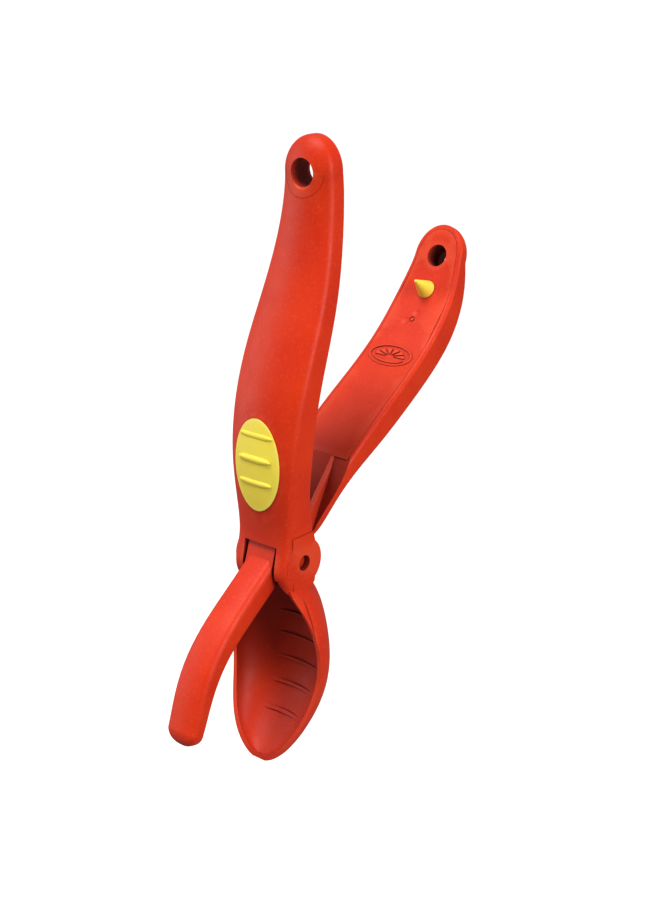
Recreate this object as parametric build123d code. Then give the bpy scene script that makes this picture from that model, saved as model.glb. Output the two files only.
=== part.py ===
from build123d import *
import math
import os

# Hand squeezing tongs: two crossing plastic levers on one pin.
# Everything is drawn in millimetres from the pivot: +X along the pin, +Z up the
# handles, -Y towards the side the thumb pad faces. Each part is moved at the end
# so that the middle of the front handle's hanging hole sits at the origin.

# ---- pivot ----
HUB_R = 7.7
EAR_HALF = 10.4
SLOT_HALF = 6.3
SLOT_R = 7.3
SLOT_TOP = 6.2
SLOT_UP = 36.0
TONGUE_HALF = 5.3
TONGUE_HUB_R = 6.8
PIN_R = 2.45
PIN_HALF = 8.6
PIN_RUNNING_GAP = 0.06
PIN_CHAMFER = 0.4
CLOSED_AT = 31.0
SWING_GAP = 1.0
TONGUE_TOP = ((7.4, 12.2), (21.0, 28.4))
TONGUE_CHAMFER = 1.1

# ---- handles ----
WALL = 2.3
CROWN_CORNER_R = 2.2
FLAT_CORNER_R = 1.3
HOLLOW_CORNER_R = 0.4
PLATE_T = 1.8
PLATE_MARGIN = 1.7
PLATE_GAP = 0.08
SEAT_GAP = 0.08
FRONT_HOLE_R = 4.15
FRONT_HOLE = (11.2, 113.6)
FRONT_HOLE_DEPTH = 9.0
REAR_HOLE_R = 3.6
REAR_HOLE = (77.9, 78.6)
REAR_HOLE_LEAN = 24.0
REAR_HOLE_DEPTH = 9.4
REAR_HOLE_STEP = 5.4
REAR_HOLE_INNER_R = 2.7
BOSS_WALL = 2.2
MOUTH_R = 0.7
MOUTH_LINE_R = 7.1
MOUTH_LINE = 0.16
END_LENGTH = 10.4

# Stations of a handle: y, z, lean from vertical in degrees, half width,
# flank depth and crown height. The last one is level with the hanging hole;
# the front handle's first ones run down over the ears.
FRONT_STATIONS = [
    (-6.5, -9.6, 16, 10.4, 8.0, 0.3),
    (-8.5, -4.2, 9, 10.4, 9.4, 0.4),
    (-8.5, 1.0, -6, 10.4, 10.4, 0.5),
    (-7.4, 6.5, -7, 10.1, 11.8, 0.7),
    (-7.0, 17.0, 0, 10.6, 10.4, 2.0),
    (-6.9, 32.0, 3, 12.0, 9.6, 3.2),
    (-4.2, 48.0, 14, 12.9, 8.4, 3.8),
    (1.3, 64.0, 22, 13.0, 7.4, 4.0),
    (8.0, 80.0, 21, 12.0, 6.6, 3.8),
    (12.6, 95.0, 12, 10.4, 6.0, 3.5),
    (14.4, 106.0, 5, 9.4, 5.8, 3.3),
    (14.6, 113.6, 1, 9.0, 5.6, 3.4),
]
REAR_STATIONS = [
    (4.6, 7.0, 36, 5.3, 6.0, 0.7),
    (11.0, 15.6, 38, 8.4, 6.2, 1.2),
    (20.6, 27.2, 46, 11.4, 6.2, 2.2),
    (33.0, 36.6, 56, 11.9, 7.7, 3.0),
    (48.0, 46.2, 57, 11.7, 8.2, 3.6),
    (60.0, 55.0, 49, 11.5, 8.5, 4.0),
    (69.6, 64.8, 38, 11.1, 7.6, 4.5),
    (75.8, 74.0, 28, 9.8, 5.1, 5.2),
    (77.9, 78.6, 24, 9.1, 3.2, 6.2),
]
PLATE_FOOT = {
    "front": (0.0, 38.0, 6.0),
    "rear": (20.4, 27.0, 46.0),
}

# ---- thumb pad ----
PAD_Z = 31.3
PAD_HALF_X = 8.5
PAD_HALF_Z = 14.2
PAD_FLOOR_Y = -7.0
PAD_PROUD = 0.35
PAD_GAP = 0.06
PAD_RIDGES = (-5.1, 2.2, 9.2)
RIDGE_HALVES = (6.2, 1.0, 1.2)
RIDGE_Y = -10.05
RIDGE_RISE = 0.012

# ---- rear plate details: y, z and lean of the face at each ----
CONE_BASE_R = 3.0
CONE_TIP_R = 0.4
CONE_H = 7.0
CONE_STEM_R = 1.6
CONE_AT = (72.4, 68.5, 34.0)
EMBLEM_AT = (54.1, 50.5, 53.0)
EMBLEM_HALF = (8.2, 4.2)
EMBLEM_LINE = 0.6
EMBLEM_H = 0.25
FAN_Y = 0.7
FAN_R = (0.9, 3.2)
FAN_STRETCH = 1.8
FAN_SEGMENTS = 6
FAN_GAP = 8.0
CRESCENT = ((5.8, 2.0, 1.0), (6.4, 1.8, 0.5))
GATE_AT = (65.2, 60.0, 43.5)
GATE_R = 1.0
GATE_RING = 0.4
GATE_DEPTH = 0.25
DIMPLES = ((0.6, -2.4), (-2.0, 1.0))
DIMPLE_R = 5.0
DIMPLE_DEPTH = 0.16

# ---- scoop ----
SCOOP_WALL = 1.3
SCOOP_MID_Z = -31.0
SCOOP_LOW = 35.4
SCOOP_HALF = 18.1
CREASE_Y = -2.4
BAND_STATIONS = [(-3.0, 10.05), (-7.5, 10.5), (-12.0, 12.6), (-18.0, 15.3), (-26.0, 18.0)]
RIB_H = 0.7
RIB_W = 0.9
RIB_Z = (-24.8, -32.4, -40.2, -47.4, -54.5)
RIB_WIDEN = 1.22

# ---- finger: y, z, lean, half width, flank depth and crown at each station ----
FINGER_STATIONS = [
    (-7.6, 2.0, 48, 5.3, 8.6, 0.2),
    (-15.0, -3.8, 51, 5.3, 8.2, 0.5),
    (-25.6, -12.2, 49, 5.5, 7.4, 0.8),
    (-34.4, -21.4, 38, 5.8, 6.4, 0.9),
    (-40.7, -33.4, 24, 5.9, 5.6, 0.9),
    (-43.6, -41.6, 14, 5.8, 5.2, 0.8),
]
FINGER_TIP = 4.6
FINGER_CORNER = 2.2

# ---- construction ----
CAP_ANGLES = (0, 22, 42, 60, 75, 86)
FAR = 100.0


def station_plane(y, z, lean):
    """Plane across a bar: local x is X, local y points to the bar's back."""
    a = math.radians(lean)
    return Plane(origin=(0, y, z), x_dir=(1, 0, 0), z_dir=(0, math.sin(a), math.cos(a)))


def facing_plane(y, z, lean):
    """Plane on a bar's flat side: local x is X, local y runs down the bar."""
    a = math.radians(lean)
    return Plane(origin=(0, y, z), x_dir=(1, 0, 0), z_dir=(0, math.cos(a), -math.sin(a)))


def crowned_face(plane, half, side_a, side_b, top, crown_r, flat_r):
    """Section with a crowned side through `top`, two flanks and one flat side."""
    with BuildSketch(plane) as sk:
        with BuildLine():
            ThreePointArc((-half, side_a), (0, top), (half, side_a))
            Polyline((half, side_a), (half, side_b), (-half, side_b), (-half, side_a))
        make_face()
        fillet([v for v in sk.vertices() if abs(v.Y - side_a) < abs(v.Y - side_b)], crown_r)
        fillet([v for v in sk.vertices() if abs(v.Y - side_b) < 0.001], flat_r)
    return sk.sketch.faces()[0]


def flat_face(plane, half, low, high):
    """Rectangular section from local y = low to high."""
    with BuildSketch(plane) as sk:
        with Locations((0, (low + high) / 2)):
            Rectangle(2 * half, high - low)
    return sk.sketch.faces()[0]


def bar_face(station, crown_in_front, shrink=1.0, roll=0.0, past=0.0, corner=None):
    """Section of a handle at a station, or `past` it with its sides rolled in."""
    y, z, lean, half, depth, crown = station
    a = math.radians(lean)
    plane = station_plane(y + past * math.sin(a), z + past * math.cos(a), lean)
    radii = (corner, corner) if corner else (CROWN_CORNER_R, FLAT_CORNER_R)
    radii = [min(r * (0.15 + 0.85 * shrink), 0.6 * half * shrink) for r in radii]
    back = 0.45 * roll
    if crown_in_front:
        sides = (roll, depth - back, roll - crown * shrink)
    else:
        sides = (depth - roll, back, depth - roll + crown * shrink)
    return crowned_face(plane, half * shrink, *sides, *radii)


def bar_loft(stations, crown_in_front, corner=None):
    """Bar through its stations."""
    return loft([bar_face(row, crown_in_front, corner=corner) for row in stations])


def cap_loft(station, crown_in_front, length, corner=None):
    """Rounded end on a bar's last station; a negative length points down the bar."""
    faces = []
    for deg in CAP_ANGLES:
        t = math.radians(deg)
        k = math.cos(t)
        faces.append(bar_face(station, crown_in_front, k, 0.45 * station[4] * (1 - k),
                              length * math.sin(t), corner))
    return loft(faces)


def front_body():
    """Outside of the front handle with its rounded end."""
    return bar_loft(FRONT_STATIONS, True) + cap_loft(FRONT_STATIONS[-1], True, END_LENGTH)


def rear_body():
    """Outside of the rear handle with its rounded end."""
    return bar_loft(REAR_STATIONS, False) + cap_loft(REAR_STATIONS[-1], False, END_LENGTH)


def hollow_loft(stations, crown_in_front):
    """Inside of a handle, one wall in from its flanks and crown."""
    faces = []
    for y, z, lean, half, depth, crown in stations:
        if crown_in_front:
            side_a, side_b, top = 0.5 * WALL, depth, WALL - crown
        else:
            side_a, side_b, top = depth - 0.5 * WALL, 0, depth + crown - WALL
        plane = station_plane(y, z, lean)
        faces.append(crowned_face(plane, half - WALL, side_a, side_b, top,
                                  HOLLOW_CORNER_R, HOLLOW_CORNER_R))
    return loft(faces)


def strip_loft(stations, margin, low, high, crown_in_front):
    """Flat strip along a handle's flat side, from low to high above that side."""
    faces = []
    y, z, lean, half, depth, crown = stations[-1]
    a = math.radians(lean)
    past_end = [(y + far * math.sin(a), z + far * math.cos(a), lean, half, depth, crown)
                for far in (0.5 * END_LENGTH, 1.5 * END_LENGTH)]
    for y, z, lean, half, depth, crown in stations + past_end:
        face_y = depth if crown_in_front else 0
        sign = 1 if crown_in_front else -1
        ends = sorted((face_y + sign * low, face_y + sign * high))
        faces.append(flat_face(station_plane(y, z, lean), half - margin, ends[0], ends[1]))
    return loft(faces)


def end_outline(plane, half, inset):
    """Extruded outline round a hanging hole, with an elliptical end."""
    with BuildSketch(plane) as sk:
        Ellipse(half - inset, END_LENGTH - inset)
        with Locations((0, FAR)):
            Rectangle(2 * FAR, 2 * FAR)
    return extrude(sk.sketch, amount=FAR, both=True)


def above(station, gap=0.0):
    """Large block up the handle from a plane across it, less a gap."""
    return station_plane(*station) * Pos(0, 0, FAR - gap) * Box(2 * FAR, 2 * FAR, 2 * FAR)


def plate_space(side, margin, gap, low, high):
    """Space of an inner plate, with its rounded end and its square foot."""
    stations, plane, front = HANDLES[side]
    strip = strip_loft(stations, margin - gap, low, high, front)
    outline = end_outline(plane, stations[-1][3], margin - gap)
    return strip & outline & above(PLATE_FOOT[side], gap)


def cylinder_on(plane, radius, low, high):
    """Cylinder along a plane's normal between two heights."""
    body = Cylinder(radius, high - low, align=(Align.CENTER, Align.CENTER, Align.MIN))
    return plane * Pos(0, 0, low) * body


def cone_on(plane, low_r, high_r, low, high):
    """Cone along a plane's normal between two heights."""
    body = Cone(low_r, high_r, high - low, align=(Align.CENTER, Align.CENTER, Align.MIN))
    return plane * Pos(0, 0, low) * body


def side_solid(points, half):
    """Profile in Y and Z, extruded the same way to both sides of the middle."""
    return extrude(make_face(Polyline([(0, y, z) for y, z in points], close=True)),
                   amount=half, dir=(1, 0, 0), both=True)


def pin_cylinder(radius, half):
    """Cylinder on the pivot axis."""
    return Rot(0, 90, 0) * Cylinder(radius, 2 * half)


FRONT_HOLE_PLANE = facing_plane(FRONT_HOLE[0], FRONT_HOLE[1], 0)
REAR_HOLE_PLANE = facing_plane(REAR_HOLE[0], REAR_HOLE[1], REAR_HOLE_LEAN)
HANDLES = {
    "front": (FRONT_STATIONS, FRONT_HOLE_PLANE, True),
    "rear": (REAR_STATIONS, REAR_HOLE_PLANE, False),
}
ORIGIN = Pos(0, -(FRONT_HOLE[0] + FRONT_HOLE_DEPTH / 2), -FRONT_HOLE[1])


def front_hang_hole():
    """Straight hole with a flared mouth."""
    plane, radius = FRONT_HOLE_PLANE, FRONT_HOLE_R
    return (cylinder_on(plane, radius, -FAR, FAR)
            + cone_on(plane, radius + 2 * MOUTH_R, radius, -MOUTH_R, MOUTH_R))


def mouth_line(outside):
    """Fine groove on the crown, half way round below the front hanging hole."""
    skin = outside - Pos(0, MOUTH_LINE / 2, 0) * outside
    ring = (cylinder_on(FRONT_HOLE_PLANE, MOUTH_LINE_R + MOUTH_LINE / 2, -FAR, FAR)
            - cylinder_on(FRONT_HOLE_PLANE, MOUTH_LINE_R - MOUTH_LINE / 2, -FAR, FAR))
    below = Pos(0, 0, FRONT_HOLE[1] - FAR) * Box(2 * FAR, 2 * FAR, 2 * FAR)
    return ring & below & skin


def rear_hang_hole():
    """Stepped hole, wide at the flat side and narrow through the crown."""
    plane, radius, depth = REAR_HOLE_PLANE, REAR_HOLE_INNER_R, REAR_HOLE_DEPTH
    return (cylinder_on(plane, REAR_HOLE_R, -FAR, REAR_HOLE_STEP)
            + cylinder_on(plane, radius, 0, FAR)
            + cone_on(plane, radius, radius + 2 * MOUTH_R, depth - MOUTH_R, depth + MOUTH_R))


# ---- front lever ----

def scoop_stations():
    """Bowl sections: z, rim y, half width, back y; the tip follows an ellipse."""
    stations = [
        (-4.0, -5.6, 8.8, 6.0),
        (-9.0, -6.2, 11.2, 10.0),
        (-14.0, -4.6, 14.1, 12.2),
        (-20.0, -2.9, 16.3, 12.6),
        (SCOOP_MID_Z, -1.7, SCOOP_HALF, 12.0),
    ]
    for deg, rim, back in ((20, -3.2, 10.4), (40, -7.0, 4.4), (56, -9.2, -1.6),
                           (70, -10.2, -6.0), (82, -10.6, -8.6)):
        a = math.radians(deg)
        stations.append((SCOOP_MID_Z - SCOOP_LOW * math.sin(a), rim,
                         SCOOP_HALF * math.cos(a), back))
    return stations


def bowl_face(z, rim, half, back, front):
    """D section: straight sides behind the rim, then half an ellipse round the back."""
    with BuildSketch(Plane.XY.offset(z)) as sk:
        with BuildLine():
            EllipticalCenterArc((0, rim), half, back - rim, start_angle=0, arc_size=180)
            Polyline((-half, rim), (-half, front), (half, front), (half, rim))
        make_face()
    return sk.sketch.faces()[0]


def bowl_outside():
    """Outer body of the scoop, closed along its rim."""
    return loft([bowl_face(z, rim + 0.8, half, back, rim)
                 for z, rim, half, back in scoop_stations()])


def band_cut():
    """Shaves the sides in front of a crease, so the bowl bulges out behind it."""
    band = loft([flat_face(Plane.XY.offset(z), half, -14, 4) for z, half in BAND_STATIONS])
    top, bottom = BAND_STATIONS[0][0], BAND_STATIONS[-1][0]
    region = Pos(0, CREASE_Y - 6, (top + bottom) / 2) * Box(60, 12, top - bottom)
    return region - band


def bowl_inside(wall, raised=0.0, widen=1.0):
    """Hollow of the scoop, carried out past the rim; raised moves its back forwards."""
    faces = []
    for z, rim, half, back in scoop_stations():
        inner = max(half - wall, 0.5) * widen
        lift = wall * max(SCOOP_MID_Z - z, 0) / SCOOP_LOW
        deepest = max(back - wall - raised, rim + 1.2)
        faces.append(bowl_face(z + lift, rim + 0.8, inner, deepest, rim - 5))
    return loft(faces)


def scoop_ribs():
    """Thin cross ribs on the back of the scoop, fading out to both sides."""
    band = bowl_inside(SCOOP_WALL - 0.2) - bowl_inside(SCOOP_WALL, RIB_H, RIB_WIDEN)
    return [band & Pos(0, FAR, z) * Box(2 * FAR, 2 * FAR, RIB_W) for z in RIB_Z]


def ear_block():
    """Round ears and the inside of the neck between handle, pivot and scoop."""
    profile = [(-5, 9), (-5, -9.6), (1.6, -9.6), (4.6, -7.4), (5.2, -5), (5.0, 6), (4.2, 9)]
    return side_solid(profile, EAR_HALF) + pin_cylinder(HUB_R, EAR_HALF)


def slot_space():
    """Room between the ears for the tongue through its whole swing."""
    open_front = side_solid([(-14, SLOT_TOP), (0, SLOT_TOP), (0, -9.5), (-14, -9.5)], SLOT_HALF)
    behind = side_solid([(-2.0, 0), (-2.0, SLOT_UP), (20, SLOT_UP), (20, 0)], SLOT_HALF)
    return open_front + behind + pin_cylinder(SLOT_R, SLOT_HALF)


def pad_cut(gap):
    """Oval prism of the thumb pad, from its floor forwards."""
    plane = Plane(origin=(0, PAD_FLOOR_Y, PAD_Z), x_dir=(1, 0, 0), z_dir=(0, -1, 0))
    with BuildSketch(plane) as sk:
        Ellipse(PAD_HALF_X + gap, PAD_HALF_Z + gap)
    return extrude(sk.sketch, amount=12)


def front_lever():
    """Front handle, ears and scoop in one moulding."""
    boss = cylinder_on(FRONT_HOLE_PLANE, FRONT_HOLE_R + BOSS_WALL, -FAR, FAR)
    hollow = hollow_loft(FRONT_STATIONS[5:], True) & above(PLATE_FOOT["front"])
    recess = plate_space("front", PLATE_MARGIN, PLATE_GAP, -PLATE_T - SEAT_GAP, 4)
    outside = front_body()
    body = outside + ear_block() + (bowl_outside() - band_cut())
    body = body - (hollow - boss) - recess - slot_space() - bowl_inside(SCOOP_WALL)
    body = body + scoop_ribs()
    body = body - pad_cut(PAD_GAP) - pin_cylinder(PIN_R, FAR)
    return body - mouth_line(outside) - front_hang_hole()


def front_inner_plate():
    """Closing plate let into the back of the front handle."""
    plate = plate_space("front", PLATE_MARGIN, 0, -PLATE_T, 0)
    return plate - cylinder_on(FRONT_HOLE_PLANE, FRONT_HOLE_R, -FAR, FAR)


def thumb_pad():
    """Oval grip inlay, slightly proud of the crown, with cross ridges."""
    skin = Pos(0, -PAD_PROUD, 0) * bar_loft(FRONT_STATIONS, True)
    pad = pad_cut(0) & skin
    for z in PAD_RIDGES:
        pad = pad + Pos(0, RIDGE_Y + RIDGE_RISE * z * z, PAD_Z + z) * scale(Sphere(1), by=RIDGE_HALVES)
    return pad


def pivot_pin():
    """Plain pin, short of the ears' outer faces at both ends."""
    pin = pin_cylinder(PIN_R, PIN_HALF)
    return chamfer(pin.edges(), PIN_CHAMFER)


# ---- rear lever ----

def finger():
    """Curved jaw in front of the scoop, with a rounded tip."""
    return (bar_loft(FINGER_STATIONS, True, FINGER_CORNER)
            + cap_loft(FINGER_STATIONS[-1], True, -FINGER_TIP, FINGER_CORNER))


def tongue():
    """Thick middle web from the rear handle through the ears, with its top edges eased."""
    low, high = TONGUE_TOP
    web = side_solid([(-7.1, 5.7), (-8.6, 0.8), (-10, -3), (-2, -6.5), (6.6, 1.6), (14, 12),
                      (26, 25), (26, 29.5), high, low, (3.6, 6)], TONGUE_HALF)
    lean = math.degrees(math.atan2(high[0] - low[0], high[1] - low[1]))
    for side in (-1, 1):
        corners = [(side * (TONGUE_HALF - TONGUE_CHAMFER - 1), -1), (side * (TONGUE_HALF + 1), -1),
                   (side * (TONGUE_HALF + 1), TONGUE_CHAMFER + 1)]
        with BuildSketch(station_plane(*low, lean)) as sk:
            with BuildLine():
                Polyline(*corners, close=True)
            make_face()
        web = web - extrude(sk.sketch, amount=math.dist(low, high))
    return web


def swing_cut():
    """Space that the front handle's back edges need beside the slot once closed."""
    turn = math.radians(CLOSED_AT)
    line = []
    for y, z, lean, half, depth, crown in FRONT_STATIONS[3:7]:
        a = math.radians(lean)
        back_y = y + (depth + SWING_GAP) * math.cos(a)
        back_z = z - (depth + SWING_GAP) * math.sin(a)
        line.append((back_y * math.cos(turn) + back_z * math.sin(turn),
                     back_z * math.cos(turn) - back_y * math.sin(turn)))
    shift_y, shift_z = -FAR * math.cos(turn), FAR * math.sin(turn)
    ends = [(y + shift_y, z + shift_z) for y, z in (line[-1], line[0])]
    return side_solid(line + ends, FAR)


def rear_lever():
    """Rear handle, tongue and finger in one moulding."""
    boss = cylinder_on(REAR_HOLE_PLANE, REAR_HOLE_R + BOSS_WALL, -FAR, FAR)
    hollow = hollow_loft(REAR_STATIONS[1:], False) & above(PLATE_FOOT["rear"])
    recess = plate_space("rear", PLATE_MARGIN, PLATE_GAP, -PLATE_T - SEAT_GAP, 4)
    body = rear_body() - (hollow - boss) - swing_cut()
    body = body + tongue() + pin_cylinder(TONGUE_HUB_R, TONGUE_HALF) + finger()
    body = body - recess - pin_cylinder(PIN_R + PIN_RUNNING_GAP, FAR)
    return body - rear_hang_hole()


def emblem():
    """Raised oval ring round a plain fan of segments over a crescent."""
    step = 180 / FAN_SEGMENTS
    with BuildSketch(facing_plane(*EMBLEM_AT)) as sk:
        for (half_x, half_y, y), mode in zip(CRESCENT, (Mode.ADD, Mode.SUBTRACT)):
            with Locations((0, y)):
                Ellipse(half_x, half_y, mode=mode)
        for i in range(FAN_SEGMENTS):
            middle = math.radians(180 + step * (i + 0.5))
            spread = math.radians((step - FAN_GAP) / 2)
            corners = [(FAN_R[0], middle), (FAN_R[1], middle - spread), (FAN_R[1], middle + spread)]
            with BuildLine():
                Polyline(*[(FAN_STRETCH * r * math.cos(t), FAN_Y + r * math.sin(t))
                           for r, t in corners], close=True)
            make_face()
    with BuildSketch(facing_plane(*EMBLEM_AT)) as ring:
        Ellipse(*EMBLEM_HALF)
        Ellipse(EMBLEM_HALF[0] - EMBLEM_LINE, EMBLEM_HALF[1] - EMBLEM_LINE, mode=Mode.SUBTRACT)
    return extrude(sk.sketch + ring.sketch, amount=EMBLEM_H, both=True)


def gate_mark():
    """Ring groove of the trimmed gate and the two sink dimples beside it."""
    plane = facing_plane(*GATE_AT)
    ring = cylinder_on(plane, GATE_R, -1, GATE_DEPTH) - cylinder_on(plane, GATE_R - GATE_RING, -2, 2)
    for x, y in DIMPLES:
        ring = ring + plane * Pos(x, y, DIMPLE_DEPTH - DIMPLE_R) * Sphere(DIMPLE_R)
    return ring


def rear_inner_plate():
    """Closing plate of the rear handle with its emblem and gate mark."""
    plate = plate_space("rear", PLATE_MARGIN, 0, -PLATE_T, 0)
    plate = plate + emblem() - gate_mark()
    plate = plate - cylinder_on(facing_plane(*CONE_AT), CONE_STEM_R, 0, 5) - piercing_cone()
    return plate - cylinder_on(REAR_HOLE_PLANE, REAR_HOLE_R, -FAR, FAR)


def piercing_cone():
    """Pointed cone on the rear plate with its stem through the plate."""
    plane = facing_plane(*CONE_AT)
    return cone_on(plane, CONE_TIP_R, CONE_BASE_R, -CONE_H, 0) + cylinder_on(
        plane, CONE_STEM_R, 0, PLATE_T)


PARTS = {
    "front_lever": front_lever,
    "front_inner_plate": front_inner_plate,
    "thumb_pad": thumb_pad,
    "pivot_pin": pivot_pin,
    "rear_lever": rear_lever,
    "rear_inner_plate": rear_inner_plate,
    "piercing_cone": piercing_cone,
}

os.makedirs("parts", exist_ok=True)
for name, make in PARTS.items():
    solid = make()
    print(name, round(solid.volume, 1), solid.is_valid, len(solid.solids()))
    export_step(ORIGIN * solid, "parts/" + name + ".step")
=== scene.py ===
import math

import bpy
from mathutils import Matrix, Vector


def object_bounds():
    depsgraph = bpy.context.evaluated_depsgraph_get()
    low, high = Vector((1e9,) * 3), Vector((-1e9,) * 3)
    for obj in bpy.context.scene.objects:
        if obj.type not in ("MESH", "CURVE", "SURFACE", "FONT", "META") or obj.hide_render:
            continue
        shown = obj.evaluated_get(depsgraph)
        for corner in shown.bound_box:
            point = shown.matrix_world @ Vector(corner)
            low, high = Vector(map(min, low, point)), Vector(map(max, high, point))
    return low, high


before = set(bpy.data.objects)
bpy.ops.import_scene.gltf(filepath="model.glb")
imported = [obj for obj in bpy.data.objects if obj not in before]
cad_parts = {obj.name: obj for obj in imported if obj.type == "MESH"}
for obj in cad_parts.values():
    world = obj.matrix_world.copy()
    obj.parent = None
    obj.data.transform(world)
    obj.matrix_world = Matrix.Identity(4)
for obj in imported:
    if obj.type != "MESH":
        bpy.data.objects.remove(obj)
cad_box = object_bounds()

# Metres and degrees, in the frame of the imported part. Colours are linear RGBA.

# ---- camera ----
CAMERA_AT = (0.2768, -0.3213, 0.0699)
CAMERA_TILT = 70.0
CAMERA_TURN = 40.0
CAMERA_LENS = 59.4
CAMERA_SENSOR = 36.0
CAMERA_CLIP = (0.01, 100.0)

# ---- floor and surroundings ----
FLOOR_DROP = 0.32
FLOOR_SIZE = 30.0
FLOOR_COLOUR = (0.86, 0.86, 0.86, 1)
FLOOR_ROUGHNESS = 0.9
FLOOR_GLOW = 0.22
TOOTH_SCALE = 400
TOOTH_DEPTH = 0.0002
TOOTH_STRENGTH = 0.05
WORLD_COLOUR = (1.0, 1.0, 1.0, 1)
WORLD_STRENGTH = 0.2

# ---- lights: each soft box stands at an offset from the middle of the part ----
SKY_FROM = (-0.16, -0.30, 0.94)
SKY_SPREAD = 30.0
SKY_STRENGTH = 2.75
SOFT_BOXES = {
    "left": {"offset": (-0.75, -0.45, 0.15), "size": 0.7, "power": 3.6},
    "right": {"offset": (0.75, -0.10, 0.25), "size": 0.4, "power": 5.4},
}

# ---- plastics ----
RED = {
    "base": (0.68, 0.034, 0.003, 1),
    "deep": (0.60, 0.022, 0.002, 1),
    "light": (0.76, 0.070, 0.022, 1),
    # painted shade: darker colour for hollows, where shade falls
    "painted_shade": (0.13, 0.002, 0.001, 1),
    "rough": 0.46,
    "grain": 0.6,
}
YELLOW = {
    "base": (0.96, 0.79, 0.08, 1),
    "deep": (0.92, 0.72, 0.06, 1),
    "light": (0.97, 0.85, 0.18, 1),
    # painted shade: darker colour for hollows, where shade falls
    "painted_shade": (0.55, 0.33, 0.01, 1),
    "rough": 0.42,
    "grain": 0.3,
}
RED_NODES = ("front_lever", "front_inner_plate", "pivot_pin", "rear_lever", "rear_inner_plate")
YELLOW_NODES = ("thumb_pad", "piercing_cone")

# ---- surface of both plastics: a scale is repeats per metre, a span is where a layer sets in ----
DRIFT_SCALE = 55
DRIFT_SPAN = (0.35, 0.68)
SPECK_SCALE = 1300
SPECK_SPAN = (0.54, 0.74)
SPECK_MOST = 0.45
# pale edges: partly rubbed wear, partly painted highlight along the edges
EDGE_WEAR_HIGHLIGHT_SPAN = (0.53, 0.6)
EDGE_WEAR_HIGHLIGHT_MOST = 0.6
# painted shade in hollows: how far cover is sought, and where the darkening sets in
PAINTED_SHADE_REACH = 0.04
PAINTED_SHADE_SPAN = (0.2, 0.88)
SMEAR_SCALE = 240
SMEAR_SPAN = (0.3, 0.7)
SMEAR_SMOOTHER = 0.05
SMEAR_ROUGHER = 0.07
WAVE_SCALE = 130
WAVE_DEPTH = 0.0004
WAVE_STRENGTH = 0.12
GRAIN_SCALE = 2000
GRAIN_DEPTH = 0.00005
GRAIN_ROUGHNESS = 0.7
EDGE_RADIUS = 0.00022
SPECULAR_LEVEL = 0.2
SHEEN_WEIGHT = 0.06
SHEEN_ROUGHNESS = 0.45


# ---- node helpers ----

class Tree:
    """Short calls for building a material's nodes."""

    def __init__(self, name):
        self.material = bpy.data.materials.new(name)
        self.material.use_nodes = True
        self.tree = self.material.node_tree
        self.shader = self.tree.nodes["Principled BSDF"]
        self.coord = self.tree.nodes.new("ShaderNodeTexCoord").outputs["Object"]

    def link(self, source, target):
        self.tree.links.new(source, target)

    def feed(self, socket, source):
        """Links a node's output to one of the shader's sockets."""
        self.link(source, self.shader.inputs[socket])

    def set(self, socket, value):
        """Sets one of the shader's sockets to a plain value."""
        self.shader.inputs[socket].default_value = value

    def noise(self, scale, detail=3.0, roughness=0.55):
        node = self.tree.nodes.new("ShaderNodeTexNoise")
        self.link(self.coord, node.inputs["Vector"])
        node.inputs["Scale"].default_value = scale
        node.inputs["Detail"].default_value = detail
        node.inputs["Roughness"].default_value = roughness
        return node.outputs["Fac"]

    def remap(self, value, span, low, high):
        """Low below the span, high above it, and a straight ramp between."""
        node = self.tree.nodes.new("ShaderNodeMapRange")
        self.link(value, node.inputs["Value"])
        node.inputs["From Min"].default_value = span[0]
        node.inputs["From Max"].default_value = span[1]
        node.inputs["To Min"].default_value = low
        node.inputs["To Max"].default_value = high
        return node.outputs["Result"]

    def mix(self, factor, a, b):
        """Blends a into b, where each is a colour or a node's output."""
        node = self.tree.nodes.new("ShaderNodeMix")
        node.data_type = "RGBA"
        self.link(factor, node.inputs[0])
        for socket, colour in ((node.inputs[6], a), (node.inputs[7], b)):
            if isinstance(colour, tuple):
                socket.default_value = colour
            else:
                self.link(colour, socket)
        return node.outputs[2]

    def bump(self, height, strength, distance, normal=None):
        node = self.tree.nodes.new("ShaderNodeBump")
        self.link(height, node.inputs["Height"])
        node.inputs["Strength"].default_value = strength
        node.inputs["Distance"].default_value = distance
        if normal is not None:
            self.link(normal, node.inputs["Normal"])
        return node.outputs["Normal"]

    def shelter(self, distance):
        """1 in the open, falling towards 0 in deep hollows."""
        node = self.tree.nodes.new("ShaderNodeAmbientOcclusion")
        node.samples = 8
        node.inputs["Distance"].default_value = distance
        return node.outputs["AO"]

    def pointiness(self):
        """Above 0.5 on edges that stand out."""
        return self.tree.nodes.new("ShaderNodeNewGeometry").outputs["Pointiness"]

    def rounded(self, radius):
        """Normal that softens every edge by a radius."""
        node = self.tree.nodes.new("ShaderNodeBevel")
        node.samples = 6
        node.inputs["Radius"].default_value = radius
        return node.outputs["Normal"]


# ---- materials ----

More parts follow.
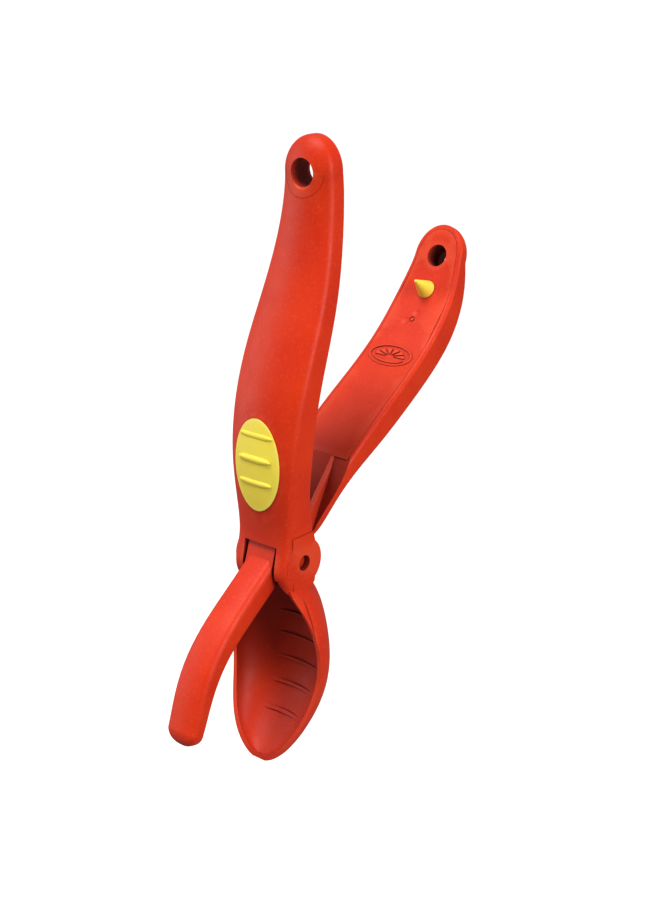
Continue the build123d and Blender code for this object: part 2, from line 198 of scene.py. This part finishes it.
def plastic_colour(t, look):
    """Slow drift and pale specks, then pale edges that are partly rubbed wear and partly painted
    highlight, and painted shade in hollows.
    """
    drift = t.remap(t.noise(DRIFT_SCALE, 2.0), DRIFT_SPAN, 0.0, 1.0)
    colour = t.mix(drift, look["deep"], look["base"])
    speck = t.remap(t.noise(SPECK_SCALE), SPECK_SPAN, 0.0, SPECK_MOST)
    colour = t.mix(speck, colour, look["light"])
    # pale edges: partly rubbed wear, partly painted highlight along the edges
    worn_and_highlit = t.remap(t.pointiness(), EDGE_WEAR_HIGHLIGHT_SPAN, 0.0, EDGE_WEAR_HIGHLIGHT_MOST)
    colour = t.mix(worn_and_highlit, colour, look["light"])
    # painted shade: hollows turn to the darker colour, standing in for the shade that falls there
    shade_mask = t.remap(t.shelter(PAINTED_SHADE_REACH), PAINTED_SHADE_SPAN, 1.0, 0.0)
    return t.mix(shade_mask, colour, look["painted_shade"])


def plastic_roughness(t, look):
    """Satin that varies a little in soft smears."""
    smear = t.noise(SMEAR_SCALE, 4.0)
    return t.remap(smear, SMEAR_SPAN, look["rough"] - SMEAR_SMOOTHER, look["rough"] + SMEAR_ROUGHER)


def plastic_normal(t, look):
    """Softened edges, the faint waves of a moulding and a fine spark-eroded grain."""
    normal = t.rounded(EDGE_RADIUS)
    normal = t.bump(t.noise(WAVE_SCALE, 2.0), WAVE_STRENGTH, WAVE_DEPTH, normal)
    grain = t.noise(GRAIN_SCALE, roughness=GRAIN_ROUGHNESS)
    return t.bump(grain, look["grain"], GRAIN_DEPTH, normal)


def moulded_plastic(name, look):
    """Satin moulded plastic in one of the two colours."""
    t = Tree(name)
    t.feed("Base Color", plastic_colour(t, look))
    t.feed("Roughness", plastic_roughness(t, look))
    t.feed("Normal", plastic_normal(t, look))
    t.set("Specular IOR Level", SPECULAR_LEVEL)
    t.set("Sheen Weight", SHEEN_WEIGHT)
    t.set("Sheen Roughness", SHEEN_ROUGHNESS)
    return t.material


def floor_paper():
    """Plain pale paper with a barely visible tooth."""
    t = Tree("floor_paper")
    t.set("Base Color", FLOOR_COLOUR)
    t.set("Roughness", FLOOR_ROUGHNESS)
    t.set("Emission Color", FLOOR_COLOUR)
    t.set("Emission Strength", FLOOR_GLOW)
    t.feed("Normal", t.bump(t.noise(TOOTH_SCALE), TOOTH_STRENGTH, TOOTH_DEPTH))
    return t.material


def dress_nodes():
    """Gives every CAD node its plastic."""
    red = moulded_plastic("red_plastic", RED)
    yellow = moulded_plastic("yellow_plastic", YELLOW)
    for names, material in ((RED_NODES, red), (YELLOW_NODES, yellow)):
        for name in names:
            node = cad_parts[name]
            node.data.materials.clear()
            node.data.materials.append(material)


# ---- floor, lights, surroundings and camera ----

def stage_floor():
    """Wide pale floor far below the hanging part, which throws no light back on it."""
    low = cad_box[0][2] - FLOOR_DROP
    bpy.ops.mesh.primitive_plane_add(size=FLOOR_SIZE, location=(0, 0, low))
    floor = bpy.context.object
    floor.name = "floor"
    floor.data.materials.append(floor_paper())
    floor.visible_diffuse = False
    floor.visible_glossy = False


def new_light(name, kind, power, toward):
    """Light that comes from the way that toward points."""
    data = bpy.data.lights.new(name, kind)
    data.energy = power
    light = bpy.data.objects.new(name, data)
    light.rotation_euler = Vector(toward).to_track_quat("Z", "Y").to_euler()
    bpy.context.scene.collection.objects.link(light)
    return light


def add_lights():
    """Broad light from nearly overhead, and a soft box on each side."""
    sky = new_light("sky", "SUN", SKY_STRENGTH, SKY_FROM)
    sky.data.angle = math.radians(SKY_SPREAD)
    middle = (Vector(cad_box[0]) + Vector(cad_box[1])) / 2
    for name, box in SOFT_BOXES.items():
        light = new_light(name, "AREA", box["power"], box["offset"])
        light.data.size = box["size"]
        light.location = middle + Vector(box["offset"])


def set_world():
    """Even white surroundings."""
    world = bpy.data.worlds.new("world")
    bpy.context.scene.world = world
    world.use_nodes = True
    background = world.node_tree.nodes["Background"]
    background.inputs["Color"].default_value = WORLD_COLOUR
    background.inputs["Strength"].default_value = WORLD_STRENGTH


def add_camera():
    """Looks down a little on the thumb pad's side, from the right."""
    data = bpy.data.cameras.new("camera")
    data.lens = CAMERA_LENS
    data.sensor_width = CAMERA_SENSOR
    data.clip_start, data.clip_end = CAMERA_CLIP
    camera = bpy.data.objects.new("camera", data)
    camera.location = CAMERA_AT
    camera.rotation_euler = (math.radians(CAMERA_TILT), 0, math.radians(CAMERA_TURN))
    bpy.context.scene.collection.objects.link(camera)
    bpy.context.scene.camera = camera


dress_nodes()
stage_floor()
add_lights()
set_world()
add_camera()
bpy.context.scene.view_settings.view_transform = "Standard"
